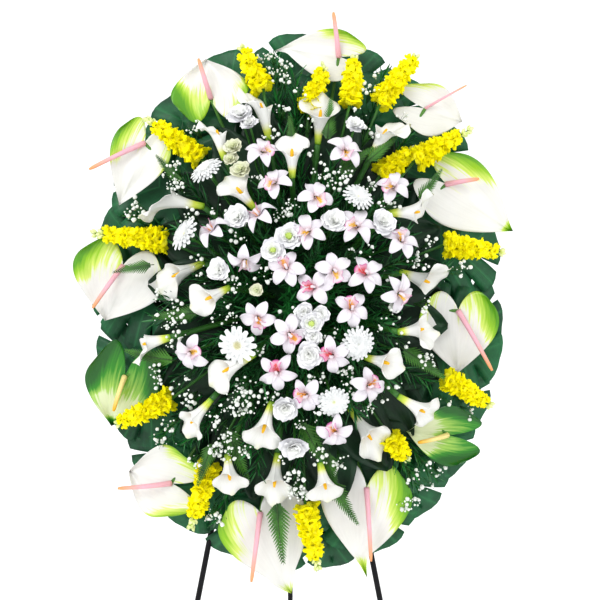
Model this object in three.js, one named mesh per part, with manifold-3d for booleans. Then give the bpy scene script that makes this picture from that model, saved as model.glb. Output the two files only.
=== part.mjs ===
// A standing funeral spray: cut flowers in an oval of monstera leaves, pushed into a block of
// floral foam whose tray hangs on a folding steel easel. Millimetres, +Z up, the flowers face -Y.
// The origin lies on the floor, under the middle of the whole piece.

import * as THREE from 'three';
import { mergeVertices } from 'three/addons/utils/BufferGeometryUtils.js';
import Module from 'manifold-3d';

const wasm = await Module();
wasm.setup();

// Driving dimensions.
const LEAN = THREE.MathUtils.degToRad(11); // the easel's front leans back by this
const SPREAD = THREE.MathUtils.degToRad(24); // between the easel's front and its open rear leg
const CENTRE_HEIGHT = 1110; // floor to the middle of the foam
const CENTRE_RIGHT = 20; // the foam hangs this far right of the easel's middle
const GAP = 0.3; // left between pieces that touch

const RIM = { x: 445, y: 583 }; // half axes of the oval that the leaf tips make
const LEAF_BASE = { x: 222, y: 312 }; // half axes of the oval that the leaf bases make
const DOME = { rim: 30, rise: 210 }; // how far the flowers stand in front of the leaves

const FOAM = { x: 124, y: 214, back: -17.7, front: 70 };
const TRAY = { x: 136, y: 226, back: -22, front: -6, wall: 4 };
const STEM_DEPTH = 40; // how far a stem goes into the foam

const ROD = 6; // radius of the legs
const BAR = 4; // radius of the two cross bars
const PRONG = 3; // radius of the hooks welded on them
const BOLT = 3; // radius of the hinge bolt
const LEG_PLANE = TRAY.back - GAP - ROD;
const LEG_TOP = { x: 17, y: 280 };
const LEG_SLOPE = 0.1955; // the legs spread by this much for each millimetre down
const PIVOT = { y: 255, z: -44 };
const REAR_LEG_ABOVE_PIVOT = 40;
const HEAD = { halfWidth: 34, low: 240, high: 302, thickness: 3 };
const EAR = { inner: ROD + GAP, outer: ROD + GAP + HEAD.thickness, low: 244, high: 268, below: 9 };
const BOLT_HEAD = { radius: 5, height: 4 };
const NUT = { radius: 5.6, height: 5 };
const BOLT_END = 2; // the bolt's thread shows this far past its nut
const HOOK = { spread: 50, lip: 3, upperBar: 70, pastLeg: 18 };
const FOOT = { radius: 11, length: 36, sole: 5 };

const LEAF_WIDTH = 262;
const LEAF_THICKNESS = 4;
const PETIOLE = 4;
const LEAF_LAYERS = [0, 10];
const SPATHE_THICKNESS = 4;
const SPATHE_LEVEL = 32;
const ANTHURIUM_STEM = { radius: 4, level: 24 };
const SPADIX = { radius: 6.5, foot: 3, rise: 28 };
const SNAPDRAGON = { radius: 18, level: 78, tipDrop: 8, stem: 3.5, stemLevel: 48 };
const CALLA = { mouth: 38, length: 100, spadix: 4, stem: 5, base: 105, rise: 30, stemLevel: 35 };
const ORCHID = { petal: 36, lip: 20, lipDrop: 4, stem: 2.5, thickness: 4, stemLevel: 45 };

const material = (color, roughness, metalness = 0) =>
  new THREE.MeshStandardMaterial({ color, roughness, metalness });

const blackPaint = () => material(0x121314, 0.4, 0.6);
const zinc = () => material(0xa9abab, 0.35, 1);
const blackRubber = () => material(0x0d0d0d, 0.85);
const greenPlastic = () => material(0x1f4a2a, 0.45);
const wetFoam = () => material(0x2f5a2e, 0.95);
const darkLeaf = () => material(0x175233, 0.45);
const whiteSpathe = () => material(0xf2f5ee, 0.3);
const yellowPetal = () => material(0xffee00, 0.6);
const whiteCalla = () => material(0xfbfbf6, 0.45);
const pinkOrchid = () => material(0xf3e2ee, 0.5);

// ---------- solids ----------

function solidOf(geometry) {
  const bare = geometry.clone();
  bare.deleteAttribute('normal');
  bare.deleteAttribute('uv');
  const merged = mergeVertices(bare, 1e-3);
  const corners = merged.index.array;
  const kept = [];
  for (let i = 0; i < corners.length; i += 3) {
    const [a, b, c] = corners.slice(i, i + 3);
    if (a !== b && b !== c && c !== a) {
      kept.push(a, b, c);
    }
  }
  return new wasm.Manifold(new wasm.Mesh({
    numProp: 3,
    vertProperties: new Float32Array(merged.attributes.position.array),
    triVerts: new Uint32Array(kept),
  }));
}

function geometryOf(solid) {
  const mesh = solid.getMesh();
  const geometry = new THREE.BufferGeometry();
  geometry.setAttribute('position', new THREE.BufferAttribute(mesh.vertProperties, 3));
  geometry.setIndex(new THREE.BufferAttribute(mesh.triVerts, 1));
  geometry.computeVertexNormals();
  return geometry;
}

function joined(geometries) {
  return geometries.map(solidOf).reduce((whole, next) => whole.add(next));
}

function piece(name, geometry, finish) {
  const mesh = new THREE.Mesh(geometry, finish);
  mesh.name = name;
  return mesh;
}

function box(x0, x1, y0, y1, z0, z1) {
  const geometry = new THREE.BoxGeometry(x1 - x0, y1 - y0, z1 - z0);
  return geometry.translate((x0 + x1) / 2, (y0 + y1) / 2, (z0 + z1) / 2);
}

function circle(radius, sides) {
  const corners = [];
  for (let i = 0; i < sides; i += 1) {
    const angle = (2 * Math.PI * i) / sides;
    corners.push(new THREE.Vector2(radius * Math.cos(angle), radius * Math.sin(angle)));
  }
  return new THREE.Shape(corners);
}

// A round rod through the points, straight between two and on a smooth curve through more.
function rod(points, radius, sides = 6, steps = 1) {
  const [start, end] = points;
  const path = points.length > 2 ? new THREE.CatmullRomCurve3(points) : new THREE.LineCurve3(start, end);
  return new THREE.ExtrudeGeometry(circle(radius, sides), {
    steps,
    bevelEnabled: false,
    extrudePath: path,
  });
}

// A turned shape whose profile, given as [radius, height] pairs, stands on start and points at end.
function turned(profile, start, end, sides) {
  const corners = profile.map(([radius, height]) => new THREE.Vector2(radius, height));
  const geometry = new THREE.LatheGeometry(corners, sides);
  const along = new THREE.Vector3().subVectors(end, start).normalize();
  const turn = new THREE.Quaternion().setFromUnitVectors(new THREE.Vector3(0, 1, 0), along);
  return geometry.applyQuaternion(turn).translate(start.x, start.y, start.z);
}

function plate(corners, thickness) {
  const shape = new THREE.Shape(corners.map(([x, y]) => new THREE.Vector2(x, y)));
  return new THREE.ExtrudeGeometry(shape, { depth: thickness, bevelEnabled: false });
}

// Both halves of an outline that is given from its notch to its tip, on the right-hand side.
function mirrored(half) {
  const left = half.slice(1, -1).reverse().map(([x, y]) => [-x, y]);
  return [...half, ...left];
}

const at = (x, y, z) => new THREE.Vector3(x, y, z);

// ---------- the leaning frame that the arrangement and the easel's front share ----------

const leaning = new THREE.Group();
leaning.rotation.x = Math.PI / 2 - LEAN;
leaning.position.set(0, 0, CENTRE_HEIGHT);
leaning.updateMatrixWorld();

const upright = (x, y, z) => at(x, y, z).applyMatrix4(leaning.matrixWorld);

function leanHeightZero(z) {
  return -(CENTRE_HEIGHT + z * Math.sin(LEAN)) / Math.cos(LEAN);
}

// ---------- easel ----------

const easel = new THREE.Group();

const FLOOR_CUT = { reach: 900, depth: 200 };
const belowFloor = solidOf(
  box(-FLOOR_CUT.reach, FLOOR_CUT.reach, -FLOOR_CUT.reach, FLOOR_CUT.reach, -FLOOR_CUT.depth, 0),
);

// A rubber cap pushed on a leg's lower end, its sole cut level with the floor.
function rubberFoot(name, floorPoint, upward) {
  const bottom = floorPoint.clone().addScaledVector(upward, -FOOT.radius);
  const top = floorPoint.clone().addScaledVector(upward, FOOT.length);
  const legEnd = floorPoint.clone().addScaledVector(upward, FOOT.sole);
  const past = floorPoint.clone().addScaledVector(upward, FOOT.length + 1);
  const cap = solidOf(rod([bottom, top], FOOT.radius, 20));
  const bore = solidOf(rod([legEnd, past], ROD + GAP, 16));
  return piece(name, geometryOf(cap.subtract(belowFloor).subtract(bore)), blackRubber());
}

function legX(y) {
  return LEG_TOP.x + LEG_SLOPE * (LEG_TOP.y - y);
}

const floorY = leanHeightZero(LEG_PLANE);
for (const [side, word] of [[-1, 'left'], [1, 'right']]) {
  const top = upright(side * LEG_TOP.x, LEG_TOP.y, LEG_PLANE);
  const floorPoint = upright(side * legX(floorY), floorY, LEG_PLANE);
  const upward = top.clone().sub(floorPoint).normalize();
  const legEnd = floorPoint.clone().addScaledVector(upward, FOOT.sole + GAP);
  easel.add(piece(`front_leg_${word}`, rod([legEnd, top], ROD, 16), blackPaint()));
  easel.add(rubberFoot(`rubber_foot_${word}`, floorPoint, upward));
}

const pivot = upright(0, PIVOT.y, PIVOT.z);
const rearUpward = at(0, -Math.sin(SPREAD - LEAN), Math.cos(SPREAD - LEAN));
const rearFloor = pivot.clone().addScaledVector(rearUpward, -pivot.z / rearUpward.z);
const rearTop = pivot.clone().addScaledVector(rearUpward, REAR_LEG_ABOVE_PIVOT);
const rearEnd = rearFloor.clone().addScaledVector(rearUpward, FOOT.sole + GAP);
const alongX = (from, to) => [at(from, pivot.y, pivot.z), at(to, pivot.y, pivot.z)];
const rearRod = solidOf(rod([rearEnd, rearTop], ROD, 16));
const boltHole = solidOf(rod(alongX(-HEAD.halfWidth, HEAD.halfWidth), BOLT + GAP, 12));
easel.add(piece('rear_leg', geometryOf(rearRod.subtract(boltHole)), blackPaint()));
easel.add(rubberFoot('rubber_foot_rear', rearFloor, rearUpward));

// The head: a plate that the front legs are welded behind, with two ears for the hinge bolt.
const plateBack = LEG_PLANE + ROD + GAP;
const earBack = PIVOT.z - EAR.below;
const headSolid = joined([
  box(-HEAD.halfWidth, HEAD.halfWidth, HEAD.low, HEAD.high, plateBack, plateBack + HEAD.thickness),
  box(-EAR.outer, -EAR.inner, EAR.low, EAR.high, earBack, plateBack + 1),
  box(EAR.inner, EAR.outer, EAR.low, EAR.high, earBack, plateBack + 1),
]);
const acrossHead = [at(-HEAD.halfWidth, PIVOT.y, PIVOT.z), at(HEAD.halfWidth, PIVOT.y, PIVOT.z)];
const headHole = solidOf(rod(acrossHead, BOLT + GAP, 12));
const headBracket = piece('head_bracket', geometryOf(headSolid.subtract(headHole)), blackPaint());
headBracket.applyMatrix4(leaning.matrixWorld);
easel.add(headBracket);

// The hinge bolt has a round head outside one ear and a threaded end that its nut is screwed on.
const washer = EAR.outer + GAP;
const boltStart = at(-washer - BOLT_HEAD.height, pivot.y, pivot.z);
const boltLength = BOLT_HEAD.height + 2 * washer + NUT.height + BOLT_END;
const boltProfile = [
  [0, 0],
  [BOLT_HEAD.radius, 0],
  [BOLT_HEAD.radius, BOLT_HEAD.height],
  [BOLT, BOLT_HEAD.height],
  [BOLT, boltLength],
  [0, boltLength],
];
easel.add(piece('hinge_bolt', turned(boltProfile, boltStart, pivot, 12), zinc()));
const nutRod = rod(alongX(washer, washer + NUT.height), NUT.radius, 6);
const nutSolid = solidOf(nutRod).subtract(boltHole);
easel.add(piece('hinge_nut', geometryOf(nutSolid), zinc()));

// A bar welded across the front of the legs, with two hooks bent over the tray's rim.
function hookBar(name, sign, halfLength) {
  const level = sign * (TRAY.y + BAR + 1);
  const depth = LEG_PLANE + ROD + GAP + BAR;
  const reach = TRAY.front + GAP + PRONG + 0.3;
  const parts = [rod([at(-halfLength, level, depth), at(halfLength, level, depth)], BAR, 12)];
  for (const x of [-HOOK.spread, HOOK.spread]) {
    const tip = sign * (TRAY.y - HOOK.lip);
    parts.push(rod([at(x, level, depth), at(x, level, reach + PRONG)], PRONG, 8));
    parts.push(rod([at(x, level + sign * PRONG, reach), at(x, tip, reach)], PRONG, 8));
  }
  const bar = piece(name, geometryOf(joined(parts)), blackPaint());
  bar.applyMatrix4(leaning.matrixWorld);
  return bar;
}

easel.add(hookBar('upper_hook_bar', 1, HOOK.upperBar));
easel.add(hookBar('lower_ledge_bar', -1, legX(-TRAY.y) + HOOK.pastLeg));

// ---------- arrangement: every flower's stem ends in the foam ----------

const arrangement = new THREE.Group();
arrangement.rotation.copy(leaning.rotation);
arrangement.position.set(CENTRE_RIGHT, 0, CENTRE_HEIGHT);
const holes = [];

function domeAt(x, y) {
  return DOME.rim + DOME.rise * (1 - (x / RIM.x) ** 2 - (y / RIM.y) ** 2);
}

// The point inside the foam's side that a stem lying towards (x, y) at this level ends in.
function sideEntry(x, y, level) {
  const distance = Math.hypot(x, y);
  const edge = Math.min((FOAM.x * distance) / Math.abs(x), (FOAM.y * distance) / Math.abs(y));
  const share = (edge - STEM_DEPTH) / distance;
  return at(x * share, y * share, level);
}

function stem(from, to, radius) {
  const past = from.clone().add(from.clone().sub(to).setLength(1));
  holes.push(rod([past, to], radius + GAP));
  return rod([from, to], radius);
}

// Monstera leaves: broad blades split into fingers from the edge towards the midrib.
function monsteraBlade(length, width) {
  const fingers = 5;
  const slit = 0.045;
  const middle = 0.42 * length;
  const edge = (angle, share) => [
    share * (width / 2) * Math.sin(angle),
    middle + share * (length - middle) * Math.cos(angle),
  ];
  const half = [[0, 0]];
  for (let i = 0; i < fingers; i += 1) {
    const near = 0.86 * Math.PI * (1 - i / fingers);
    const far = 0.86 * Math.PI * (1 - (i + 1) / fingers);
    half.push(edge(near - slit, 0.97));
    half.push(edge((near + far) / 2, 1));
    if (i < fingers - 1) {
      half.push(edge(far + slit, 0.97));
      half.push(edge(far + 0.1, 0.5));
    }
  }
  half.push([0, length]);
  return mirrored(half);
}

const LEAF_PLACES = [72, 41, 14, -12, -38, -66, -95, -124, -153, 177, 148, 112];

LEAF_PLACES.forEach((place, i) => {
  const angle = THREE.MathUtils.degToRad(place);
  const tip = new THREE.Vector2(RIM.x * Math.cos(angle), RIM.y * Math.sin(angle));
  const base = new THREE.Vector2(LEAF_BASE.x * Math.cos(angle), LEAF_BASE.y * Math.sin(angle));
  const layer = LEAF_LAYERS[i % 2];
  const along = tip.clone().sub(base);
  const blade = plate(monsteraBlade(along.length(), LEAF_WIDTH), LEAF_THICKNESS);
  blade.rotateZ(along.angle() - Math.PI / 2);
  blade.translate(base.x, base.y, layer);
  const level = layer + LEAF_THICKNESS / 2;
  const joint = base.clone().addScaledVector(along, 0.3);
  const petiole = stem(at(joint.x, joint.y, level), sideEntry(base.x, base.y, level), PETIOLE);
  arrangement.add(piece(`monstera_leaf_${i + 1}`, geometryOf(joined([blade, petiole])), darkLeaf()));
});

// Anthuriums: [base x, base y, tip direction, tip length, lobe length, width, spadix dx, spadix dy].
const ANTHURIUMS = [
  [86, 521, 170, 123, 55, 130, -12, 88],
  [-185, 433, 98, 86, 50, 170, -24, 79],
  [-325, 338, 248, 140, 48, 148, -113, -58],
  [-371, 78, 252, 121, 47, 205, -60, -89],
  [-367, -156, 255, 108, 72, 160, -20, -71],
  [-269, -382, 156, 110, 62, 180, -109, -7],
  [-80, -444, 288, 190, 42, 195, -18, -141],
  [145, -392, 265, 178, 56, 200, 8, -150],
  [316, -280, 176, 85, 72, 129, -65, -13],
  [339, -17, 270, 131, 42, 170, 68, -125],
  [314, 251, 325, 178, 60, 160, 65, 9],
  [269, 411, 342, 82, 64, 127, 84, 45],
];

function heart(tip, lobe, width) {
  return mirrored([
    [0, -0.3 * lobe],
    [0.13 * width, -0.85 * lobe],
    [0.29 * width, -lobe],
    [0.44 * width, -0.6 * lobe],
    [0.5 * width, 0.08 * tip],
    [0.43 * width, 0.4 * tip],
    [0.26 * width, 0.7 * tip],
    [0.08 * width, 0.93 * tip],
    [0, tip],
  ]);
}

ANTHURIUMS.forEach(([x, y, direction, tip, lobe, width, dx, dy], i) => {
  const spathe = plate(heart(tip, lobe, width), SPATHE_THICKNESS);
  spathe.rotateZ(THREE.MathUtils.degToRad(direction - 90));
  spathe.translate(x, y, SPATHE_LEVEL);
  const spadixBase = at(x, y, SPATHE_LEVEL + SPADIX.foot);
  const spadixTip = at(x + dx, y + dy, SPATHE_LEVEL + SPADIX.rise);
  const length = spadixBase.distanceTo(spadixTip);
  const r = SPADIX.radius;
  const profile = [[0, 0], [0.7 * r, 0], [r, 0.2 * length], [0.75 * r, 0.8 * length], [0, length]];
  const spadix = turned(profile, spadixBase, spadixTip, 8);
  const stalkTop = at(x, y, SPATHE_LEVEL + 1);
  const stalk = stem(stalkTop, sideEntry(x, y, ANTHURIUM_STEM.level), ANTHURIUM_STEM.radius);
  const flower = geometryOf(joined([spathe, spadix, stalk]));
  arrangement.add(piece(`anthurium_${i + 1}`, flower, whiteSpathe()));
});

// Snapdragon spikes: [inner x, inner y, outer x, outer y].
const SNAPDRAGONS = [
  [-73, 447, -121, 537],
  [108, 414, 119, 516],
  [171, 416, 248, 520],
  [243, 297, 362, 364],
  [-204, 302, -320, 389],
  [-275, 131, -433, 146],
  [304, 121, 431, 106],
  [-264, -200, -384, -256],
  [-183, -337, -225, -474],
  [15, -420, 42, -562],
];

SNAPDRAGONS.forEach(([x0, y0, x1, y1], i) => {
  const inner = at(x0, y0, SNAPDRAGON.level);
  const outer = at(x1, y1, SNAPDRAGON.level - SNAPDRAGON.tipDrop);
  const length = inner.distanceTo(outer);
  const r = SNAPDRAGON.radius;
  const profile = [
    [0, 0],
    [0.8 * r, 0.06 * length],
    [r, 0.25 * length],
    [0.8 * r, 0.4 * length],
    [0.9 * r, 0.55 * length],
    [0.55 * r, 0.8 * length],
    [0, length],
  ];
  const spike = turned(profile, inner, outer, 8);
  const within = inner.clone().lerp(outer, 0.15);
  const stalk = stem(within, sideEntry(x0, y0, SNAPDRAGON.stemLevel), SNAPDRAGON.stem);
  arrangement.add(piece(`snapdragon_${i + 1}`, geometryOf(joined([spike, stalk])), yellowPetal()));
});

// Calla lilies: [stem end x, stem end y, mouth x, mouth y].
const CALLAS = [
  [-59, 338, -88, 447],
  [41, 330, 49, 420],
  [150, 303, 199, 375],
  [-195, 201, -293, 232],
  [-195, 84, -283, 51],
  [211, 64, 291, 40],
  [-43, -312, -49, -383],
  [107, -219, 164, -291],
];

CALLAS.forEach(([x0, y0, x1, y1], i) => {
  const base = at(x0, y0, CALLA.base);
  const mouth = at(x1, y1, CALLA.base + CALLA.rise);
  const m = CALLA.mouth;
  const h = CALLA.length;
  const profile = [
    [0, 0],
    [0.2 * m, 0.04 * h],
    [0.27 * m, 0.35 * h],
    [0.5 * m, 0.7 * h],
    [m, h],
    [0.93 * m, 1.04 * h],
    [0.42 * m, 0.73 * h],
    [0.18 * m, 0.42 * h],
    [0, 0.36 * h],
  ];
  const spathe = turned(profile, base, mouth, 10);
  const along = mouth.clone().sub(base).normalize();
  const spadixBase = base.clone().addScaledVector(along, 0.3 * h);
  const spadixTip = base.clone().addScaledVector(along, 0.85 * h);
  const spadix = rod([spadixBase, spadixTip], CALLA.spadix);
  const entry = at(0.22 * x0, 0.22 * y0, CALLA.stemLevel);
  const stalk = stem(base.clone().addScaledVector(along, 0.1 * h), entry, CALLA.stem);
  arrangement.add(piece(`calla_lily_${i + 1}`, geometryOf(joined([spathe, spadix, stalk])), whiteCalla()));
});

// Cymbidium orchids: [x, y], open towards the front of the dome.
const ORCHIDS = [[36, 210], [-80, 172], [78, 64], [-16, -60], [18, -182]];

const LIP_PROFILE = [[0, 0], [8, 3], [6, 16], [0, ORCHID.lip]];

function orchidStar(reach) {
  const outline = [];
  for (let i = 0; i < 5; i += 1) {
    for (const [turn, share] of [[-0.5, 0.28], [-0.22, 0.75], [0, 1], [0.22, 0.75]]) {
      const angle = Math.PI / 2 + ((i + turn) * 2 * Math.PI) / 5;
      outline.push([share * reach * Math.cos(angle), share * reach * Math.sin(angle)]);
    }
  }
  return outline;
}

ORCHIDS.forEach(([x, y], i) => {
  const level = domeAt(x, y);
  const star = plate(orchidStar(ORCHID.petal), ORCHID.thickness).translate(x, y, level);
  const lipFoot = at(x, y - ORCHID.lipDrop, level);
  const lipEnd = at(x, y - 2 * ORCHID.lipDrop, level + ORCHID.lip);
  const lip = turned(LIP_PROFILE, lipFoot, lipEnd, 8);
  const entry = at(0.75 * x, 0.75 * y, ORCHID.stemLevel);
  const stalk = stem(at(x, y, level + 1), entry, ORCHID.stem);
  arrangement.add(piece(`orchid_${i + 1}`, geometryOf(joined([star, lip, stalk])), pinkOrchid()));
});

// The tray is a shallow box, open at the front, and the foam stands in it and out of it.
const trayBlock = solidOf(box(-TRAY.x, TRAY.x, -TRAY.y, TRAY.y, TRAY.back, TRAY.front));
const inside = { x: TRAY.x - TRAY.wall, y: TRAY.y - TRAY.wall };
const trayHollow = solidOf(box(-inside.x, inside.x, -inside.y, inside.y, TRAY.back + TRAY.wall, 0));
arrangement.add(piece('foam_tray', geometryOf(trayBlock.subtract(trayHollow)), greenPlastic()));

const foamBlock = solidOf(box(-FOAM.x, FOAM.x, -FOAM.y, FOAM.y, FOAM.back, FOAM.front));
const drilled = holes.reduce((block, hole) => block.subtract(solidOf(hole)), foamBlock);
arrangement.add(piece('floral_foam', geometryOf(drilled), wetFoam()));

// ---------- the whole, moved so that the origin is under its middle ----------

const wreath = new THREE.Group();
wreath.add(easel, arrangement);
wreath.updateMatrixWorld();
const bounds = new THREE.Box3().setFromObject(wreath, true);
const middle = bounds.getCenter(new THREE.Vector3());
wreath.position.set(-middle.x, -middle.y, 0);
wreath.updateMatrixWorld();

export default wreath;
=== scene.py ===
# A standing funeral spray: fresh flowers and foliage in an oval, on a folding steel easel.

import math
import random

import bmesh
import bpy
from mathutils import Matrix, Vector


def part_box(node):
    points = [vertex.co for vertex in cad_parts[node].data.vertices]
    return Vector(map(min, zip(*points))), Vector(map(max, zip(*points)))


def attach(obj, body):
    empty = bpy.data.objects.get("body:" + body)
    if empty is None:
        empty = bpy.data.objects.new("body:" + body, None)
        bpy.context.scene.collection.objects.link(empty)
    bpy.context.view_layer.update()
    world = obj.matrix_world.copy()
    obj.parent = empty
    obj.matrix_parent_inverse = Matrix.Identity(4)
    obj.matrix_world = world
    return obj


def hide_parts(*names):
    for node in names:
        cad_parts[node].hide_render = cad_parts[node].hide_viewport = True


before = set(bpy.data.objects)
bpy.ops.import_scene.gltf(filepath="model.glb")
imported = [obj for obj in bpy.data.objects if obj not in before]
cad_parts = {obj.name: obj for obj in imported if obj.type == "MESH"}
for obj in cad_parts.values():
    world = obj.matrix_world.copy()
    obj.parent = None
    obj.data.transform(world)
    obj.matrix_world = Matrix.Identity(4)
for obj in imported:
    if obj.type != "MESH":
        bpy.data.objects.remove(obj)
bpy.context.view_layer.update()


# Easel. Black-painted round rod, bent and welded, with a zinc-plated hinge bolt at its head and
# rubber caps pushed on the ends of the legs.

# Finishes share a few patterns. Mottle is the slow drift of colour over living tissue, and veins
# are the fine lines that run along a petal or a leaf, fanned out from its base.


def new_group(name, inputs, outputs):
    group = bpy.data.node_groups.new(name, "ShaderNodeTree")
    for label, value in inputs:
        socket = group.interface.new_socket(label, in_out="INPUT", socket_type="NodeSocketFloat")
        socket.default_value = value
    for label in outputs:
        group.interface.new_socket(label, in_out="OUTPUT", socket_type="NodeSocketFloat")
    return group, group.nodes.new("NodeGroupInput"), group.nodes.new("NodeGroupOutput")


def math_node(tree, operation, first, second=None):
    node = tree.nodes.new("ShaderNodeMath")
    node.operation = operation
    for socket, value in zip(node.inputs, (first, second)):
        if isinstance(value, bpy.types.NodeSocket):
            tree.links.new(value, socket)
        elif value is not None:
            socket.default_value = value
    return node.outputs[0]


def make_mottle():
    group, inside, outside = new_group("mottle", [("Scale", 30.0), ("Contrast", 1.0)], ["Amount"])
    place = group.nodes.new("ShaderNodeTexCoord")
    noise = group.nodes.new("ShaderNodeTexNoise")
    noise.inputs["Detail"].default_value = 4
    noise.inputs["Roughness"].default_value = 0.6
    group.links.new(place.outputs["Object"], noise.inputs["Vector"])
    group.links.new(inside.outputs["Scale"], noise.inputs["Scale"])
    centred = math_node(group, "SUBTRACT", noise.outputs["Fac"], 0.5)
    spread = math_node(group, "MULTIPLY", centred, inside.outputs["Contrast"])
    amount = math_node(group, "ADD", spread, 0.5)
    group.links.new(amount, outside.inputs["Amount"])
    return group


MOTTLE = make_mottle()


class Finish:
    """A material under construction: its tree, its shader and the few nodes that most finishes need."""

    def __init__(self, name, roughness=0.5, metallic=0.0):
        self.material = bpy.data.materials.new(name)
        self.material.use_nodes = True
        self.tree = self.material.node_tree
        self.shader = self.tree.nodes["Principled BSDF"]
        self.set("Roughness", roughness)
        self.set("Metallic", metallic)

    def set(self, socket, value):
        if isinstance(value, bpy.types.NodeSocket):
            self.tree.links.new(value, self.shader.inputs[socket])
        else:
            self.shader.inputs[socket].default_value = value

    def group(self, tree, output, **values):
        node = self.tree.nodes.new("ShaderNodeGroup")
        node.node_tree = tree
        for label, value in values.items():
            node.inputs[label].default_value = value
        return node.outputs[output]

    def flush(self):
        node = self.tree.nodes.new("ShaderNodeAttribute")
        node.attribute_name = "flush"
        return node.outputs["Fac"]

    def ramp(self, amount, *stops):
        node = self.tree.nodes.new("ShaderNodeValToRGB")
        elements = node.color_ramp.elements
        while len(elements) < len(stops):
            elements.new(0.5)
        for element, (place, color) in zip(elements, stops):
            element.position = place
            element.color = (*color, 1)
        self.tree.links.new(amount, node.inputs["Fac"])
        return node.outputs["Color"]

    def mixed(self, kind, amount, first, second):
        node = self.tree.nodes.new("ShaderNodeMix")
        node.data_type = "RGBA"
        node.blend_type = kind
        for socket, value in ((node.inputs[0], amount), (node.inputs[6], first), (node.inputs[7], second)):
            if isinstance(value, bpy.types.NodeSocket):
                self.tree.links.new(value, socket)
            elif isinstance(value, tuple):
                socket.default_value = (*value, 1)
            else:
                socket.default_value = value
        return node.outputs[2]

    def bumped(self, height, strength, distance=0.001):
        node = self.tree.nodes.new("ShaderNodeBump")
        node.inputs["Strength"].default_value = strength
        node.inputs["Distance"].default_value = distance
        self.tree.links.new(height, node.inputs["Height"])
        self.set("Normal", node.outputs["Normal"])

    def grain(self, scale, detail=3):
        place = self.tree.nodes.new("ShaderNodeTexCoord")
        noise = self.tree.nodes.new("ShaderNodeTexNoise")
        noise.inputs["Scale"].default_value = scale
        noise.inputs["Detail"].default_value = detail
        self.tree.links.new(place.outputs["Object"], noise.inputs["Vector"])
        return noise.outputs["Fac"]


def black_paint():
    finish = Finish("black paint", roughness=0.5)
    worn = finish.group(MOTTLE, "Amount", Scale=60, Contrast=1.6)
    finish.set("Base Color", finish.ramp(worn, (0.2, (0.004, 0.004, 0.005)), (0.9, (0.010, 0.010, 0.014))))
    finish.set("Specular IOR Level", 0.25)
    finish.bumped(finish.grain(900), 0.15, 0.0004)
    return finish.material


def zinc_plate():
    finish = Finish("zinc plate", roughness=0.38, metallic=1.0)
    dull = finish.group(MOTTLE, "Amount", Scale=220, Contrast=1.5)
    finish.set("Base Color", finish.ramp(dull, (0.2, (0.38, 0.39, 0.38)), (0.9, (0.66, 0.67, 0.68))))
    finish.bumped(finish.grain(1500), 0.2, 0.0003)
    return finish.material


def black_rubber():
    finish = Finish("black rubber", roughness=0.85)
    dust = finish.group(MOTTLE, "Amount", Scale=120, Contrast=1.8)
    finish.set("Base Color", finish.ramp(dust, (0.3, (0.012, 0.012, 0.012)), (1.0, (0.07, 0.068, 0.064))))
    finish.bumped(finish.grain(1200), 0.4, 0.0005)
    return finish.material


def repaint(node, material):
    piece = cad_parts[node]
    piece.data.materials.clear()
    piece.data.materials.append(material)


paint = black_paint()
for node in (
    "front_leg_left", "front_leg_right", "rear_leg", "head_bracket", "upper_hook_bar", "lower_ledge_bar"
):
    repaint(node, paint)
plating = zinc_plate()
for node in ("hinge_bolt", "hinge_nut"):
    repaint(node, plating)
rubber = black_rubber()
for node in ("rubber_foot_left", "rubber_foot_right", "rubber_foot_rear"):
    repaint(node, rubber)


# Foam and tray. A soaked block of green phenolic foam, cut with a wire, standing in a shallow
# moulded plastic tray that hangs between the easel's two bars.

def wet_foam():
    finish = Finish("wet floral foam", roughness=0.9)
    soaked = finish.group(MOTTLE, "Amount", Scale=25, Contrast=2.0)
    finish.set("Base Color", finish.ramp(soaked, (0.2, (0.010, 0.045, 0.016)), (0.9, (0.03, 0.11, 0.035))))
    finish.bumped(finish.grain(700, 6), 0.8, 0.002)
    return finish.material


def green_plastic():
    finish = Finish("green tray plastic", roughness=0.42)
    shade = finish.group(MOTTLE, "Amount", Scale=18, Contrast=1.2)
    finish.set("Base Color", finish.ramp(shade, (0.2, (0.008, 0.06, 0.025)), (0.9, (0.016, 0.10, 0.04))))
    finish.bumped(finish.grain(1400), 0.15, 0.0004)
    return finish.material


repaint("floral_foam", wet_foam())
repaint("foam_tray", green_plastic())


# Monstera leaves. Broad leathery blades on round stalks, split from the edge towards the midrib
# into fingers; they are pushed into the sides of the foam first and back the whole spray.

BODY = "spray_and_front"
# The spray's own frame. The foam block leans back with the easel's front, and every stem is
# placed from its middle: x to the right, y up along the block, z out of it towards the viewer.

LEAN = math.radians(11)
FOAM_HALF_WIDTH = 0.124
FOAM_HALF_HEIGHT = 0.214
FOAM_MIDDLE = 0.026
RIM = (0.445, 0.583)
foam_low, foam_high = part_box("floral_foam")
TURN = Matrix.Rotation(math.pi / 2 - LEAN, 4, "X")
ORIGIN = (foam_low + foam_high) / 2 - TURN @ Vector((0, 0, FOAM_MIDDLE))
SPRAY = Matrix.Translation(ORIGIN) @ TURN


def pointed(x, y, z, direction, lift=0, roll=0):
    """A matrix whose +Y points in this direction, raised towards the viewer and rolled about itself."""
    turn = Matrix.Rotation(math.radians(direction - 90), 4, "Z")
    raised = Matrix.Rotation(math.radians(lift), 4, "X")
    rolled = Matrix.Rotation(math.radians(roll), 4, "Y")
    return Matrix.Translation((x, y, z)) @ turn @ raised @ rolled


def new_bmesh():
    bm = bmesh.new()
    bm.loops.layers.uv.new("UVMap")
    bm.verts.layers.float.new("flush")
    return bm


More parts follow.
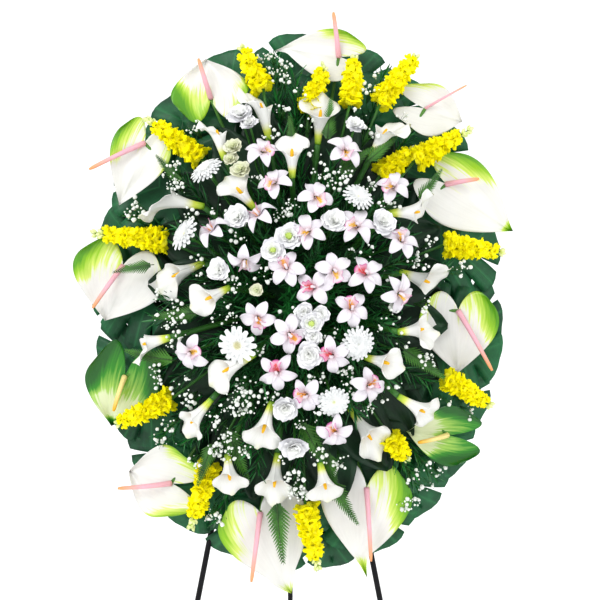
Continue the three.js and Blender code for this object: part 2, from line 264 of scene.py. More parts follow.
def add_sheet(bm, columns, rows, shape, finish=0, thickness=0):
    """Adds a sheet. shape(s, t), with s from -1 to 1 and t from 0 to 1, gives a corner and its flush."""
    made = bmesh.ops.create_grid(bm, x_segments=columns, y_segments=rows, size=1, calc_uvs=True)["verts"]
    flush = bm.verts.layers.float["flush"]
    for vert in made:
        place, amount = shape(vert.co.x, (vert.co.y + 1) / 2)
        vert.co = place
        vert[flush] = amount
    faces = list({face for vert in made for face in vert.link_faces})
    for face in faces:
        face.material_index = finish
        face.smooth = True
    if thickness:
        bmesh.ops.solidify(bm, geom=faces, thickness=thickness)
    return made


def add_tube(bm, path, radius, sides, rings, finish=0, flush_at=None):
    """Adds a closed round tube along path(t), t from 0 to 1, of radius(t)."""

    def shape(s, t):
        ring = round(t * (rings + 2))
        place = min(max((ring - 1) / rings, 0), 1)
        width = 0 if ring in (0, rings + 2) else radius(place)
        ahead = path(min(place + 0.02, 1)) - path(max(place - 0.02, 0))
        side = ahead.cross(Vector((0.11, 0.23, 1))).normalized()
        other = side.cross(ahead).normalized()
        centre = path(place)
        rim = width * (math.cos(math.pi * s) * side + math.sin(math.pi * s) * other)
        return centre + rim, flush_at(place) if flush_at else 0

    made = add_sheet(bm, sides, rings + 2, shape, finish)
    bmesh.ops.remove_doubles(bm, verts=made, dist=1e-6)


def bent(start, middle, end):
    """A path from start to end that is drawn towards middle on its way."""
    start, middle, end = Vector(start), Vector(middle), Vector(end)
    return lambda t: (1 - t) ** 2 * start + 2 * t * (1 - t) * middle + t * t * end


def finished(name, bm, finishes, replaces=None, outward=True):
    """Makes a piece of the bmesh, in the row frame, riding on the front of the easel."""
    if outward:
        bmesh.ops.recalc_face_normals(bm, faces=bm.faces)
    bm.transform(SPRAY)
    mesh = bpy.data.meshes.new(name)
    bm.to_mesh(mesh)
    bm.free()
    for finish in finishes:
        mesh.materials.append(finish)
    piece = bpy.data.objects.new(name, mesh)
    bpy.context.scene.collection.objects.link(piece)
    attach(piece, BODY)
    if replaces:
        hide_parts(replaces)
    return piece


def foam_entry(x, y, level):
    """Where a stem lying towards (x, y) at this level ends, inside the side of the foam."""
    reach = math.hypot(x, y)
    edge = min(FOAM_HALF_WIDTH * reach / max(abs(x), 1e-4), FOAM_HALF_HEIGHT * reach / max(abs(y), 1e-4))
    share = (edge - 0.03) / reach
    return Vector((x * share, y * share, level))


def make_veins():
    group, inside, outside = new_group(
        "veins", [("Count", 12.0), ("Fan", 0.0), ("Sharpness", 6.0)], ["Line", "Midrib"]
    )
    place = group.nodes.new("ShaderNodeUVMap")
    place.uv_map = "UVMap"
    axes = group.nodes.new("ShaderNodeSeparateXYZ")
    group.links.new(place.outputs["UV"], axes.inputs[0])
    across = math_node(group, "ABSOLUTE", math_node(group, "SUBTRACT", axes.outputs["X"], 0.5))
    fanned = math_node(group, "MULTIPLY", axes.outputs["Y"], inside.outputs["Fan"])
    slanted = math_node(group, "SUBTRACT", across, fanned)
    turns = math_node(group, "MULTIPLY", slanted, inside.outputs["Count"])
    wave = math_node(
        group, "ABSOLUTE", math_node(group, "COSINE", math_node(group, "MULTIPLY", turns, math.pi))
    )
    line = math_node(group, "POWER", wave, inside.outputs["Sharpness"])
    group.links.new(line, outside.inputs["Line"])
    near = math_node(group, "SUBTRACT", 1, math_node(group, "MULTIPLY", across, 14))
    midrib = math_node(group, "MAXIMUM", near, 0)
    group.links.new(midrib, outside.inputs["Midrib"])
    return group


def make_streaks():
    group, inside, outside = new_group(
        "streaks", [("Across", 30.0), ("Along", 2.0), ("Contrast", 1.0)], ["Amount"]
    )
    place = group.nodes.new("ShaderNodeUVMap")
    place.uv_map = "UVMap"
    axes = group.nodes.new("ShaderNodeSeparateXYZ")
    group.links.new(place.outputs["UV"], axes.inputs[0])
    stretched = group.nodes.new("ShaderNodeCombineXYZ")
    group.links.new(
        math_node(group, "MULTIPLY", axes.outputs["X"], inside.outputs["Across"]), stretched.inputs[0]
    )
    group.links.new(
        math_node(group, "MULTIPLY", axes.outputs["Y"], inside.outputs["Along"]), stretched.inputs[1]
    )
    noise = group.nodes.new("ShaderNodeTexNoise")
    noise.inputs["Scale"].default_value = 1
    noise.inputs["Detail"].default_value = 3
    group.links.new(stretched.outputs[0], noise.inputs["Vector"])
    centred = math_node(group, "SUBTRACT", noise.outputs["Fac"], 0.5)
    amount = math_node(group, "ADD", math_node(group, "MULTIPLY", centred, inside.outputs["Contrast"]), 0.5)
    group.links.new(amount, outside.inputs["Amount"])
    return group


VEINS = make_veins()
STREAKS = make_streaks()


def leaf_finish(name, dark, light, vein, roughness=0.32):
    finish = Finish(name, roughness)
    drift = finish.group(MOTTLE, "Amount", Scale=14, Contrast=2.2)
    green = finish.ramp(drift, (0.15, dark), (0.85, light))
    rib = finish.group(VEINS, "Line", Count=1.0, Fan=0.0, Sharpness=60)
    streaks = finish.group(STREAKS, "Amount", Across=26, Along=1.6, Contrast=1.4)
    ribbed = finish.mixed("MIX", math_node(finish.tree, "MULTIPLY", rib, 0.5), green, vein)
    lined = finish.mixed("MIX", math_node(finish.tree, "MULTIPLY", streaks, 0.35), ribbed, dark)
    finish.set("Base Color", lined)
    finish.set("Coat Weight", 0.08)
    finish.bumped(math_node(finish.tree, "ADD", rib, streaks), 0.4, 0.0016)
    return finish.material


LEAF_BASE = (0.222, 0.312)
LEAF_WIDTH = 0.262
FINGERS = 5


def add_monstera(bm, length, width, random_source):
    """A blade lying along +Y from its base at the origin, five fingers a side."""
    wave = random_source.uniform(0, 6)
    droop = random_source.uniform(0.05, 0.12)
    slit_starts = [random_source.uniform(0.35, 0.55) for _ in range(2 * FINGERS + 2)]

    def margin(share):
        angle = 0.86 * math.pi * (1 - share)
        return Vector((width / 2 * math.sin(angle), 0.42 * length + 0.58 * length * math.cos(angle), 0))

    def height(x, y):
        fold = 0.18 * abs(x) - 1.1 * x * x
        ripple = 0.006 * math.sin(34 * y + wave + 8 * x)
        return fold + ripple - droop * y * y / length

    for side in (-1, 1):
        for finger in range(FINGERS):
            start = slit_starts[finger + (FINGERS if side > 0 else 0)]
            last = finger == FINGERS - 1

            def shape(s, t):
                outer = max(0, (t - start) / (1 - start))
                narrowed = s * (1 - 0.22 * outer ** 0.8)
                if last and s > 0:
                    narrowed = s
                share = (finger + 0.5 + narrowed / 2) / FINGERS
                root_share = (finger + 0.5 + s / 2) / FINGERS
                root = Vector((0, length * (0.02 + 0.8 * root_share), 0))
                blunt = t * (1 - 0.05 * s * s * outer)
                place = root.lerp(margin(share), blunt)
                place.y += 0.10 * length * t * (1 - t) * (1 - root_share)
                place.x *= side
                quilt = 0.004 * (1 - s * s) * math.sin(math.pi * min(1, t * 1.1))
                place.z = height(place.x, place.y) + quilt
                return place, 0

            add_sheet(bm, 4, 9, shape, 0)
    bmesh.ops.remove_doubles(bm, verts=bm.verts, dist=2e-4)
    bmesh.ops.recalc_face_normals(bm, faces=bm.faces)
    bmesh.ops.solidify(bm, geom=bm.faces[:], thickness=0.0012)


monstera = leaf_finish(
    "monstera leaf", (0.003, 0.055, 0.020), (0.012, 0.165, 0.055), (0.03, 0.24, 0.08), 0.5
)
petiole_green = leaf_finish("leaf stalk", (0.02, 0.12, 0.02), (0.06, 0.24, 0.04), (0.1, 0.3, 0.06), 0.4)
rng = random.Random(11)
# Where the leaf tips stand on the oval, in degrees of its parameter, with each leaf's CAD number.
LEAVES = [
    (72, 1), (41, 2), (14, 3), (-12, 4), (-38, 5), (-66, 6), (-95, 7), (-124, 8), (-153, 9),
    (177, 10), (148, 11), (112, 12), (91, 0), (130, 0), (-25, 0), (57, 0), (-80, 0),
    (-52, 0), (-139, 0), (-5, 0), (163, 0), (-167, 0), (-110, 0),
]
for count, (place, number) in enumerate(LEAVES, start=1):
    angle = math.radians(place)
    tip = Vector((RIM[0] * math.cos(angle), RIM[1] * math.sin(angle), 0))
    base = Vector((LEAF_BASE[0] * math.cos(angle), LEAF_BASE[1] * math.sin(angle), 0))
    along = tip - base
    level = 0.002 if number % 2 else 0.012
    if not number:
        level = -0.006
    bm = new_bmesh()
    add_monstera(bm, along.length, LEAF_WIDTH * rng.uniform(0.94, 1.04), rng)
    direction = math.degrees(math.atan2(along.y, along.x))
    bm.transform(pointed(base.x, base.y, level, direction, lift=0, roll=rng.uniform(-5, 5)))
    joint = base + 0.02 * along
    entry = foam_entry(base.x, base.y, level)
    path = bent(entry, entry.lerp(joint, 0.5), (joint.x, joint.y, level))
    add_tube(bm, path, lambda t: 0.004 - 0.001 * t, 8, 4, 1)
    node = f"monstera_leaf_{number}" if number else None
    finished(f"monstera_blade_{count}", bm, [monstera, petiole_green], node)


# Anthuriums. One waxy heart-shaped spathe on a round stalk, its lobes and tip flushed green, with
# a finely pebbled spadix standing out of its notch. Cut whole and pushed into the foam's sides.

def spathe_finish(name, pale, flush_first, flush_full, deep):
    finish = Finish(name, roughness=0.3)
    drift = finish.group(MOTTLE, "Amount", Scale=24, Contrast=1.0)
    streaks = finish.group(STREAKS, "Amount", Across=34, Along=2.5, Contrast=1.6)
    shade = tuple(0.93 * channel for channel in pale)
    base = finish.ramp(math_node(finish.tree, "MULTIPLY", drift, streaks), (0.05, shade), (0.45, pale))
    uneven = math_node(finish.tree, "MULTIPLY", math_node(finish.tree, "SUBTRACT", streaks, 0.5), 0.42)
    edge = math_node(finish.tree, "ADD", finish.flush(), uneven)
    green = finish.ramp(edge, (0.20, pale), (0.36, flush_first), (0.62, flush_full), (0.95, deep))
    amount = finish.ramp(edge, (0.20, (0, 0, 0)), (0.34, (1, 1, 1)))
    finish.set("Base Color", finish.mixed("MIX", amount, base, green))
    finish.set("Coat Weight", 0.2)
    finish.set("Coat Roughness", 0.2)
    ribs = finish.group(VEINS, "Line", Count=7.0, Fan=0.10, Sharpness=10)
    finish.bumped(math_node(finish.tree, "SUBTRACT", streaks, ribs), 0.15, 0.0008)
    return finish.material


def spadix_finish(name, low, high):
    finish = Finish(name, roughness=0.55)
    finish.set("Base Color", finish.ramp(finish.flush(), (0.55, low), (0.95, high)))
    place = finish.tree.nodes.new("ShaderNodeTexCoord")
    cells = finish.tree.nodes.new("ShaderNodeTexVoronoi")
    cells.inputs["Scale"].default_value = 620
    finish.tree.links.new(place.outputs["Object"], cells.inputs["Vector"])
    finish.bumped(math_node(finish.tree, "SUBTRACT", 1, cells.outputs["Distance"]), 0.6, 0.0012)
    return finish.material


def add_spathe(bm, tip, lobe, width, greens, fold, taper, blunt, hook, source):
    """A heart along +Y from the spadix's foot at the origin, open towards +Z."""
    right_green, left_green, tip_green, whole_green = greens
    phase = source.uniform(0, 6)

    def shape(s, t):
        outward = abs(s)
        wide = math.sin(math.pi * (0.30 + 0.70 * t ** taper))
        back = 0.04 + 0.96 * math.sin(math.pi * min(1, 0.92 * outward)) ** 0.75
        wide = max(wide, blunt * (1 - t ** 9))
        near_tip = max(0, (t - 0.86) / 0.14)
        x = s * width / 2 * wide + hook * near_tip ** 2
        y = t * tip - (1 - t) ** 1.5 * lobe * back + 1.4 * abs(hook) * near_tip ** 3
        trough = 0.5 * outward ** 1.7 - 0.16 * math.sin(math.pi * outward)
        z = fold * width * (trough + 0.7 * (1 - t) ** 3 * outward ** 2)
        z += 0.016 * width * math.sin(7 * t + 3 * s + phase) * outward ** 1.5
        z += 0.010 * width * math.sin(11 * t - 5 * s + phase)
        z -= 0.12 * tip * t ** 2.4
        side = right_green if s > 0 else left_green
        rim = max(0, (outward - 0.45) / 0.55) ** 1.3
        at_lobe = side * max(0, 1 - t / 0.62) ** 0.7 * (0.24 + 0.75 * rim + 0.15 * outward)
        at_tip = tip_green * near_tip
        along_rim = 0.5 * side * rim ** 2 * max(0, 1 - t / 0.9)
        return (x, y, z), min(1, max(at_lobe, at_tip, along_rim) + whole_green)

    add_sheet(bm, 26, 26, shape, 0, 0.0013)


white_spathe = spathe_finish(
    "white spathe", (0.75, 0.75, 0.725), (0.62, 0.74, 0.16), (0.28, 0.52, 0.012), (0.09, 0.30, 0.005))
green_spathe = spathe_finish(
    "green spathe", (0.66, 0.72, 0.46), (0.34, 0.55, 0.10), (0.03, 0.24, 0.012), (0.008, 0.11, 0.008))
pink_spadix = spadix_finish("pink spadix", (0.82, 0.44, 0.52), (0.80, 0.36, 0.16))
yellow_spadix = spadix_finish("yellow spadix", (0.88, 0.72, 0.30), (0.80, 0.42, 0.02))
stalk_green = leaf_finish("flower stalk", (0.05, 0.16, 0.02), (0.12, 0.30, 0.05), (0.16, 0.34, 0.08), 0.4)

# x, y, tip direction, tip, lobe and width in metres, the spadix's reach in x and y, the green of
# the right lobe, left lobe, tip and whole, then the spathe's fold, taper, blunt tip and hook at the tip.
ANTHURIUMS = [
    (0.086, 0.521, 170, 0.123, 0.055, 0.112, -0.012, 0.088, (0.95, 0.30, 0.1, 0), 0.12, 0.8, 0.10, -0.010),
    (-0.185, 0.433, 98, 0.086, 0.050, 0.165, -0.024, 0.079, (0.90, 2.3, 0.1, 0), 0.12, 0.9, 0.15, 0.001),
    (-0.325, 0.338, 248, 0.140, 0.048, 0.128, -0.113, -0.058, (1.2, 0.6, 0, 0), 0.12, 0.8, 0.12, 0.001),
    (-0.371, 0.078, 252, 0.121, 0.047, 0.200, -0.060, -0.089, (1.5, 0.4, 0, 0), 0.13, 0.9, 0.12, 0.001),
    (-0.367, -0.156, 255, 0.108, 0.072, 0.160, -0.020, -0.071,
     (2.4, 2.2, 1.2, 0.14), 0.10, 1.0, 0.12, 0.002),
    (-0.269, -0.382, 165, 0.092, 0.062, 0.155, -0.109, -0.007, (1.0, 0.8, 0, 0), 0.12, 1.3, 0.45, 0.001),
    (-0.080, -0.444, 288, 0.185, 0.042, 0.195, -0.018, -0.141, (0.9, 0.2, 0.5, 0), 0.09, 0.68, 0.36, -0.007),
    (0.145, -0.392, 265, 0.172, 0.056, 0.195, 0.008, -0.150, (0.15, 1.4, 0.7, 0), 0.10, 0.72, 0.16, -0.020),
    (0.316, -0.280, 176, 0.085, 0.072, 0.129, -0.065, -0.013, (2.2, 2.2, 0.3, 0.05), 0.16, 0.8, 0.15, 0.002),
    (0.339, -0.017, 270, 0.131, 0.042, 0.170, 0.068, -0.125, (0.7, 1.4, 0.2, 0), 0.10, 0.9, 0.15, 0.001),
    (0.314, 0.251, 325, 0.172, 0.060, 0.155, 0.065, 0.009, (0.2, 1.2, 1.1, 0), 0.10, 0.85, 0.24, -0.002),
    (0.269, 0.411, 342, 0.082, 0.064, 0.112, 0.084, 0.045, (0.2, 0.6, 0.1, 0), 0.12, 1.1, 0.15, 0.001),
]
YELLOW_SPADICES = (5, 9)
SPATHE_LEVEL = 0.050
taken = []


def claim(x, y, radius):
    """Notes that a bloom covers this place, so that loose greens and filler keep off it."""
    taken.append((x, y, radius))


def is_open(x, y, clearance):
    return all(math.hypot(x - other[0], y - other[1]) > other[2] + clearance for other in taken)


for number, entry in enumerate(ANTHURIUMS, start=1):
    x, y, direction, tip, lobe, width, reach_x, reach_y, greens, fold, taper, blunt, hook = entry
    bm = new_bmesh()
    add_spathe(bm, tip, lobe, width, greens, fold, taper, blunt, hook, random.Random(number))
    outward = math.atan2(y, x)
    lift = -9 * math.cos(math.radians(direction) - outward)
    bm.transform(pointed(x, y, SPATHE_LEVEL, direction, lift))
    foot = Vector((x, y, SPATHE_LEVEL))
    end = foot + Vector((reach_x, reach_y, 0.030))
    path = bent(foot, foot + Vector((0.45 * reach_x, 0.45 * reach_y, 0.034)), end)
    thick = 0.0030 if number == 12 else 0.0062
    add_tube(
        bm, path, lambda t: thick * (1 - 0.4 * t) * min(1, 9 * (1.04 - t)) ** 0.5, 14, 22, 1, lambda t: t
    )
    inside = foam_entry(x, y, 0.024)
    behind = inside.lerp(foot, 0.75) - Vector((0, 0, 0.018))
    add_tube(bm, bent(inside, behind, foot), lambda t: 0.0036, 8, 6, 2)
    spathe = green_spathe if number in YELLOW_SPADICES else white_spathe
    spadix = yellow_spadix if number in YELLOW_SPADICES else pink_spadix
    finished(
        f"anthurium_bloom_{number}", bm, [spathe, spadix, stalk_green], f"anthurium_{number}"
    )
    toward = math.radians(direction)
    claim(x + 0.35 * tip * math.cos(toward), y + 0.35 * tip * math.sin(toward), 0.42 * width)
    claim(x + 0.72 * tip * math.cos(toward), y + 0.72 * tip * math.sin(toward), 0.28 * width)
    claim(x, y, 0.38 * width)


# Snapdragons. A green stem set all round with ruffled two-lipped yellow florets, wide open below
# and closing to cream buds at the tip; laid between the anthuriums.

def aimed(start, end):
    """A matrix at start whose +Y points at end, with +Z as near to the viewer as that leaves."""
    along = (end - start).normalized()
    side = along.cross(Vector((0, 0, 1)))
    if side.length < 0.01:
        side = Vector((1, 0, 0))
    side.normalize()
    turn = Matrix((side, along, side.cross(along))).transposed().to_4x4()
    return Matrix.Translation(start) @ turn


def snapdragon_finish():
    finish = Finish("snapdragon yellow", roughness=0.6)
    drift = finish.group(MOTTLE, "Amount", Scale=150, Contrast=1.8)
    yellow = finish.ramp(drift, (0.15, (0.96, 0.84, 0.0)), (0.7, (1.0, 0.97, 0.0)))
    bud = finish.ramp(drift, (0.2, (0.50, 0.62, 0.16)), (0.8, (0.84, 0.86, 0.52)))
    finish.set("Base Color", finish.mixed("MIX", finish.flush(), yellow, bud))
    return finish.material


def add_petal(bm, length, width, cup, ruffle, phase, columns=3, rows=4, finish=0, flush=0, point=0.8):
    """A small petal along +Y from the origin, hollow towards +Z."""

    def shape(s, t):
        wide = math.sin(math.pi * (0.12 + 0.83 * t ** 0.75)) ** point
        wave = ruffle * math.sin(4.5 * s + phase) * t * t
        return (s * width / 2 * wide, t * length, cup * length * (s * s * 0.5 * wide + t * t) + wave), flush

    return add_sheet(bm, columns, rows, shape, finish)


def prototype(build):
    """The mesh of a small part that is then put in many places."""
    bm = new_bmesh()
    build(bm)
    mesh = bpy.data.meshes.new("prototype")
    bm.to_mesh(mesh)
    bm.free()
    return mesh


def put(bm, mesh, place):
    """Adds a copy of the mesh to the bmesh at this place."""
    copy = mesh.copy()
    copy.transform(place)
    bm.from_mesh(copy)
    bpy.data.meshes.remove(copy)


def turned(angle, axis):
    return Matrix.Rotation(math.radians(angle), 4, axis)


def add_floret(bm, opening, source):
    """Rounded ruffled lips on a short swollen throat that opens along +Z from the origin."""

    def throat(s, t):
        angle = math.pi * s
        wide = 0.20 + 0.16 * math.sin(math.pi * t)
        return (wide * math.cos(angle), wide * math.sin(angle), 0.62 * t - 0.1), 0.15 * (1 - t)

    add_sheet(bm, 6, 3, throat)
    for lip, spin in enumerate((90, 40, 140, 225, 270, 315)):
        length = source.uniform(0.52, 0.64) * (0.5 + 0.5 * opening)
        petal = prototype(lambda part: add_petal(
            part, length, 0.68 * (0.6 + 0.4 * opening), 0.30, 0.07, source.uniform(0, 6), 4, 4, 0, 0, 0.5))
        place = turned(spin + source.uniform(-9, 9) - 90, "Z") @ Matrix.Translation((0, 0.20, 0.46))
        put(bm, petal, place @ turned(78 - 62 * opening + source.uniform(-8, 8), "X"))


def add_bud(bm):
    def shape(s, t):
        angle = math.pi * s
        wide = 0.34 * math.sin(math.pi * t) ** 0.7
        return (wide * math.cos(angle), wide * math.sin(angle), 1.25 * t), 1

    made = add_sheet(bm, 6, 4, shape)
    bmesh.ops.remove_doubles(bm, verts=made, dist=1e-5)


snapdragon_yellow = snapdragon_finish()
stem_green = leaf_finish("flower stem", (0.02, 0.10, 0.015), (0.07, 0.24, 0.04), (0.1, 0.3, 0.06), 0.45)

# The inner and the outer end of each spike, and its CAD number.
SNAPDRAGONS = [
    (-0.073, 0.447, -0.121, 0.537, 1), (0.108, 0.414, 0.119, 0.516, 2), (0.171, 0.416, 0.248, 0.520, 3),
    (0.243, 0.297, 0.362, 0.364, 4), (-0.204, 0.302, -0.320, 0.389, 5), (-0.275, 0.131, -0.433, 0.146, 6),
    (0.304, 0.121, 0.431, 0.106, 7), (-0.264, -0.200, -0.384, -0.256, 8),
    (-0.183, -0.337, -0.225, -0.474, 9), (0.015, -0.420, 0.042, -0.562, 10),
    (0.021, 0.397, 0.056, 0.499, 0), (0.171, 0.266, 0.243, 0.322, 0), (0.308, -0.156, 0.404, -0.216, 0),
    (0.191, -0.279, 0.229, -0.329, 0),
]
SNAPDRAGON_LEVEL = 0.086
SNAPDRAGON_RADIUS = 0.0195
rng = random.Random(23)
FLORETS = [prototype(lambda bm: add_floret(bm, opening, rng)) for opening in (1.0, 0.95, 0.9, 0.75, 0.45)]
BUD = prototype(add_bud)

for count, (x0, y0, x1, y1, number) in enumerate(SNAPDRAGONS, start=1):
    inner = Vector((x0, y0, SNAPDRAGON_LEVEL))
    outer = Vector((x1, y1, SNAPDRAGON_LEVEL - 0.010))
    bm = new_bmesh()
    add_tube(bm, bent(inner, inner.lerp(outer, 0.5), outer), lambda t: 0.0035 * (1 - 0.6 * t), 6, 8, 1)
    entry = foam_entry(x0, y0, 0.048)
    add_tube(bm, bent(entry, entry.lerp(inner, 0.5), inner), lambda t: 0.0032, 6, 6, 1)
    spike = aimed(inner, outer)
    length = (outer - inner).length
    whorls = round(length / 0.0140)
    for whorl in range(whorls):
        share = (whorl + 0.3) / whorls
        for spoke in range(5):
            angle = 72 * spoke + 31 * whorl + rng.uniform(-16, 16)
            along = share * length + rng.uniform(-0.004, 0.004)
            place = spike @ Matrix.Translation((0, along, 0)) @ turned(angle, "Y")
            if share < 0.82:
                size = 0.0265 * (1 - 0.35 * share) * rng.uniform(0.85, 1.1)
                kind = FLORETS[min(4, int(6 * max(0, share - 0.1) / 0.8))]
                place = place @ turned(-30, "X") @ Matrix.Translation((0, 0, 0.002))
            else:
                size = 0.0150 * (1.7 - share) * rng.uniform(0.85, 1.1)
                kind = BUD
                place = place @ turned(-52, "X") @ Matrix.Translation((0, 0, 0.001))
            put(bm, kind, place @ Matrix.Scale(size, 4))
    node = f"snapdragon_{number}" if number else None
    finished(
        f"snapdragon_spike_{count}", bm, [snapdragon_yellow, stem_green], node, False
    )
    for share in (0.1, 0.35, 0.6, 0.85):
        claim(x0 + share * (x1 - x0), y0 + share * (y1 - y0), SNAPDRAGON_RADIUS)


# Calla lilies. One thick white leaf rolled into a trumpet, green at its foot, its margins lapping
# in front and its tip curled back behind; a yellow spadix stands inside on a fleshy green stem.

FOAM_FRONT = 0.070


DOME_RIM = 0.030
DOME_RISE = 0.210


def dome(x, y):
    """How far in front of the leaves a bloom at (x, y) stands."""
    return DOME_RIM + DOME_RISE * max(0, 1 - (x / RIM[0]) ** 2 - (y / RIM[1]) ** 2)


def calla_finish():
    finish = Finish("calla white", roughness=0.42)
    streaks = finish.group(STREAKS, "Amount", Across=60, Along=1.5, Contrast=1.2)
    white = finish.ramp(streaks, (0.2, (0.70, 0.71, 0.68)), (0.8, (0.76, 0.76, 0.74)))
    green = finish.ramp(
        finish.flush(), (0.1, (0.80, 0.80, 0.42)), (0.5, (0.60, 0.68, 0.08)), (1, (0.20, 0.42, 0.02))
    )
    amount = finish.ramp(finish.flush(), (0.02, (0, 0, 0)), (0.40, (1, 1, 1)))
    finish.set("Base Color", finish.mixed("MIX", amount, white, green))
    finish.set("Coat Weight", 0.08)
    finish.bumped(streaks, 0.25, 0.0006)
    return finish.material


CALLA_FOOT = 0.0064
CALLA_BODY = 0.0100
CALLA_FLARE = 0.0140


def add_calla(bm, length, gape, spread, source):
    """A trumpet along +Y from its foot at the origin; its tip is behind and its mouth looks to +Z."""
    phase = source.uniform(0, 6)
    tip_turn = source.uniform(-0.35, 0.35)
    frill = source.uniform(0.6, 1.3)
    uneven = source.uniform(-0.25, 0.25)

    def shape(s, t):
        angle = 1.03 * math.pi * s
        behind = (1 + math.cos(angle - tip_turn)) / 2
        reach = gape + (1 - gape) * behind ** 0.75
        sideways = abs(math.sin(angle)) ** 1.5 * (1 + uneven * s)
        flare = spread * CALLA_FLARE * t ** 4.5 * (0.30 + 0.95 * sideways + 0.25 * behind)
        wide = CALLA_FOOT + CALLA_BODY * spread ** 0.5 * t ** 1.3 + flare
        point = math.exp(-((angle - tip_turn) / 0.22) ** 2) * max(0, (t - 0.75) / 0.25) ** 2
        ruffle = frill * 0.0028 * (math.sin(4 * angle + phase) + 0.6 * math.sin(7 * angle - phase)) * t ** 7
        x = math.sin(angle) * (wide + 0.004 * frill * math.sin(3 * angle + phase) * t ** 6)
        y = length * t * reach - 0.06 * length * t ** 8 * sideways + 0.05 * length * point + ruffle
        z = -math.cos(angle) * wide - 0.10 * length * behind ** 1.2 * t ** 4 + 1.6 * ruffle
        z -= 0.06 * length * point + 0.10 * length * sideways * t ** 8 - 0.0010 * s * t
        return (x, y, z), min(1, max(0, 1 - t * reach / 0.36) ** 1.2 + 0.2 * point)

    add_sheet(bm, 36, 18, shape, 0, 0.0012)


calla_white = calla_finish()
calla_spadix = spadix_finish("calla spadix", (0.95, 0.58, 0.02), (0.95, 0.50, 0.01))

# The foot and the far lip of each trumpet, its roll about itself, how wide it flares and its CAD number.
CALLAS = [
    (-0.059, 0.338, -0.088, 0.446, 60, 0.8, 1), (0.041, 0.330, 0.049, 0.430, 12, 1.35, 2),
    (0.150, 0.303, 0.200, 0.383, -60, 1.0, 3), (-0.195, 0.201, -0.318, 0.218, 120, 1.1, 4),
    (-0.195, 0.084, -0.290, 0.040, 20, 1.1, 5), (0.211, 0.064, 0.300, 0.035, 70, 1.2, 6),
    (-0.043, -0.312, -0.052, -0.412, 5, 1.2, 7), (0.107, -0.219, 0.172, -0.312, -5, 1.2, 8),
    (-0.150, 0.295, -0.178, 0.382, 75, 0.5, 0), (-0.012, 0.254, -0.012, 0.338, -10, 0.95, 0),
    (-0.089, 0.192, -0.140, 0.252, 0, 1.0, 0), (-0.138, 0.032, -0.208, -0.005, 0, 1.0, 0),
    (-0.262, -0.070, -0.345, -0.095, 80, 0.8, 0), (-0.177, -0.197, -0.238, -0.268, 10, 0.9, 0),
    (-0.087, -0.103, -0.180, -0.155, 10, 1.0, 0), (-0.053, -0.200, -0.080, -0.290, 0, 1.2, 0),
    (-0.146, -0.312, -0.138, -0.388, -10, 1.1, 0), (0.045, -0.328, 0.062, -0.406, -10, 1.2, 0),
    (0.205, -0.191, 0.285, -0.240, 0, 1.0, 0), (0.203, -0.059, 0.280, -0.052, -35, 1.1, 0),
    (0.136, -0.110, 0.206, -0.128, 0, 0.9, 0), (0.183, 0.183, 0.278, 0.190, 60, 1.0, 0),
]
CALLA_LEVEL = 0.105
CALLA_RISE = 0.022

for count, (x0, y0, x1, y1, roll, spread, number) in enumerate(CALLAS, start=1):
    low = CALLA_LEVEL if number else dome(x0, y0) - 0.030
    high = CALLA_LEVEL + CALLA_RISE if number else dome(x1, y1) + 0.018
    base = Vector((x0, y0, low))
    lip = Vector((x1, y1, max(high, low - 0.02)))
    length = (lip - base).length
    bm = new_bmesh()
    add_calla(bm, length, 0.56, spread, random.Random(100 + count))
    spadix = bent((0, 0.2 * length, 0), (0, 0.4 * length, 0), (0, 0.70 * length, 0.002))
    add_tube(bm, spadix, lambda t: 0.0036 * min(1, 6 * (1.05 - t)) ** 0.5, 8, 8, 1, lambda t: t)
    bm.transform(aimed(base, lip) @ turned(roll, "Y"))
    inside = foam_entry(x0, y0, 0.058)
    if math.hypot(x0, y0) < 0.20:
        inside = Vector((0.3 * x0, 0.3 * y0, FOAM_FRONT - 0.02))
    path = bent(inside, inside.lerp(base, 0.55) + 0.1 * (base - lip), base + 0.04 * (lip - base))
    add_tube(bm, path, lambda t: 0.0052 + 0.001 * t, 10, 8, 2, lambda t: 1)
    node = f"calla_lily_{number}" if number else None
    finished(f"calla_trumpet_{count}", bm, [calla_white, calla_spadix, stem_green], node)
    claim(x0 + 0.3 * (x1 - x0), y0 + 0.3 * (y1 - y0), 0.012)
    claim(x0 + 0.75 * (x1 - x0), y0 + 0.75 * (y1 - y0), 0.032)


# Cymbidium orchids. Five waxy tepals round a three-lobed lip and an arched column, cut singly and
# wired on thin stems over the middle of the dome.

def opened(x, y, z, up, tilt=1.0):
    """A matrix whose +Z looks out of the dome at this place, with +Y turned to the direction up."""
    out = Vector((tilt * x, tilt * y, 0.30)).normalized()
    head = Vector((math.cos(math.radians(up)), math.sin(math.radians(up)), 0))
    side = head.cross(out).normalized()
    turn = Matrix((side, out.cross(side), out)).transposed().to_4x4()
    return Matrix.Translation((x, y, z)) @ turn


def orchid_finish():
    finish = Finish("orchid tepal", roughness=0.4)
    streaks = finish.group(STREAKS, "Amount", Across=22, Along=1.5, Contrast=1.6)
    pale = finish.ramp(streaks, (0.2, (0.66, 0.62, 0.68)), (0.8, (0.77, 0.75, 0.78)))
    finish.set("Base Color", finish.mixed("MIX", finish.flush(), pale, (0.74, 0.56, 0.60)))
    finish.set("Coat Weight", 0.06)
    finish.bumped(streaks, 0.3, 0.0006)
    return finish.material


